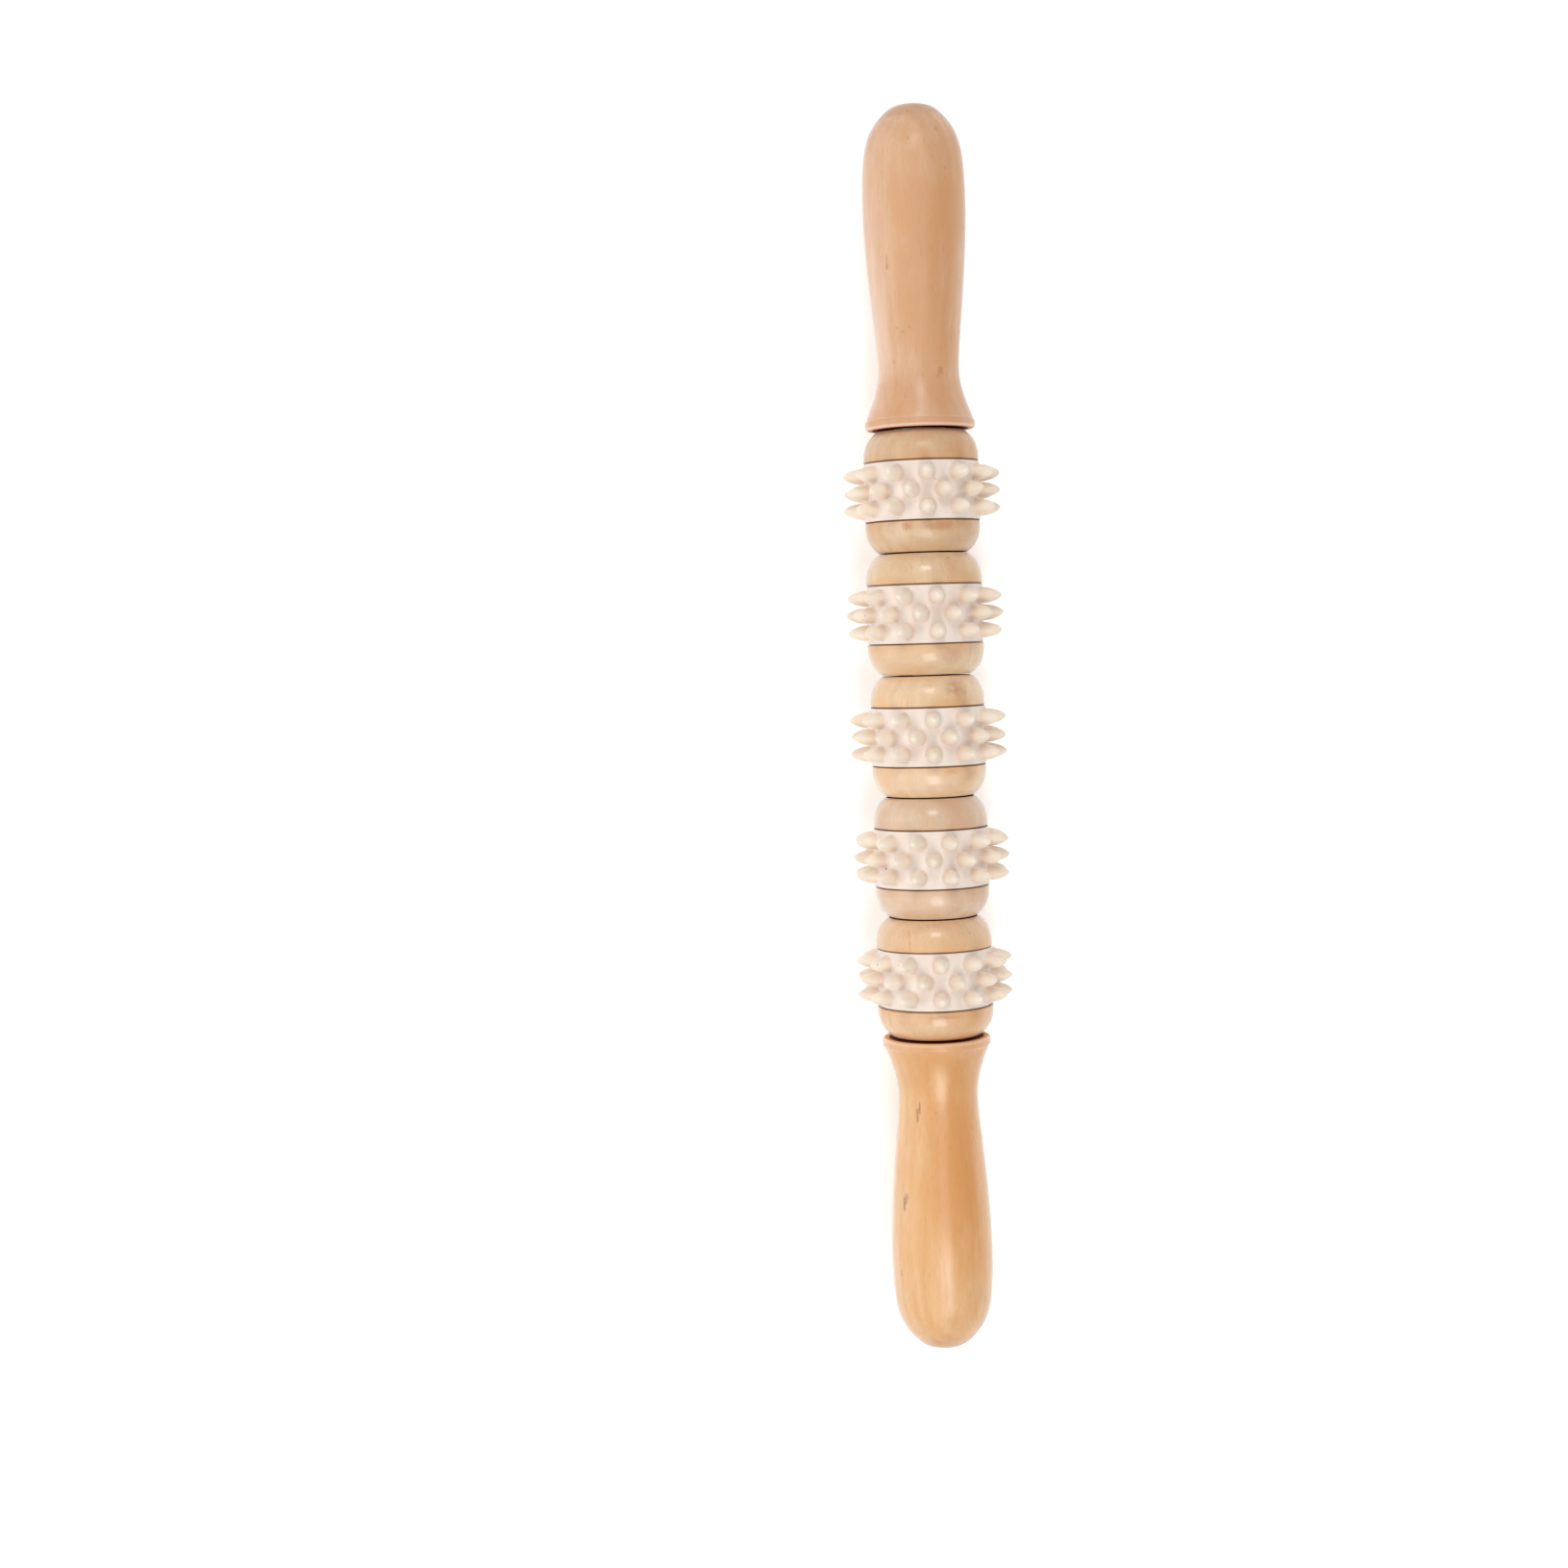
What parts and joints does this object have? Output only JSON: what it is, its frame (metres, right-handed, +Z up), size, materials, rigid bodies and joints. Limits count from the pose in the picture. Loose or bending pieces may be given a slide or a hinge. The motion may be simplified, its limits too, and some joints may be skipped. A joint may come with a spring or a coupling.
{
  "type": "foot massage roller",
  "caption": "Wooden massage stick with rounded handles and a row of free-turning wooden rollers, each with a ring of soft rubber spikes.",
  "frame": {"origin": "on the axle, at the middle of the stick, which is also the middle of the whole object's box", "axes": "+X runs along the stick from the left handle to the right handle, which is the paler one; roller 1 is next to the right handle; Z is up as the stick lies on a table"},
  "size_m": [0.27, 0.034, 0.034],
  "materials": {
    "pale_handle_wood": "satin varnish over fine-grained pale wood",
    "honey_handle_wood": "satin varnish over honey-coloured wood",
    "roller_wood": "satin varnish over pale beech",
    "spike_rubber": "soft, matt to satin, cream white",
    "axle_steel": "drawn steel"
  },
  "bodies": {
    "root": {"left_handle": "honey_handle_wood", "right_handle": "pale_handle_wood", "axle_rod": "axle_steel", "end_washer_left": "axle_steel", "end_washer_right": "axle_steel"},
    "roller_1": {"roller_spool_1": "roller_wood", "spiked_ring_1": "spike_rubber"},
    "roller_2": {"roller_spool_2": "roller_wood", "spiked_ring_2": "spike_rubber"},
    "roller_3": {"roller_spool_3": "roller_wood", "spiked_ring_3": "spike_rubber"},
    "roller_4": {"roller_spool_4": "roller_wood", "spiked_ring_4": "spike_rubber"},
    "roller_5": {"roller_spool_5": "roller_wood", "spiked_ring_5": "spike_rubber"}
  },
  "joints": [
    {"name": "roller_1_spin", "type": "hinge", "parent": "root", "child": "roller_1", "pos_m": [0.05251, 0, 0], "axis": [1, 0, 0], "continuous": true},
    {"name": "roller_2_spin", "type": "hinge", "parent": "root", "child": "roller_2", "pos_m": [0.02626, 0, 0], "axis": [1, 0, 0], "continuous": true},
    {"name": "roller_3_spin", "type": "hinge", "parent": "root", "child": "roller_3", "pos_m": [0, 0, 0], "axis": [1, 0, 0], "continuous": true},
    {"name": "roller_4_spin", "type": "hinge", "parent": "root", "child": "roller_4", "pos_m": [-0.02626, 0, 0], "axis": [1, 0, 0], "continuous": true},
    {"name": "roller_5_spin", "type": "hinge", "parent": "root", "child": "roller_5", "pos_m": [-0.05251, 0, 0], "axis": [1, 0, 0], "continuous": true}
  ]
}
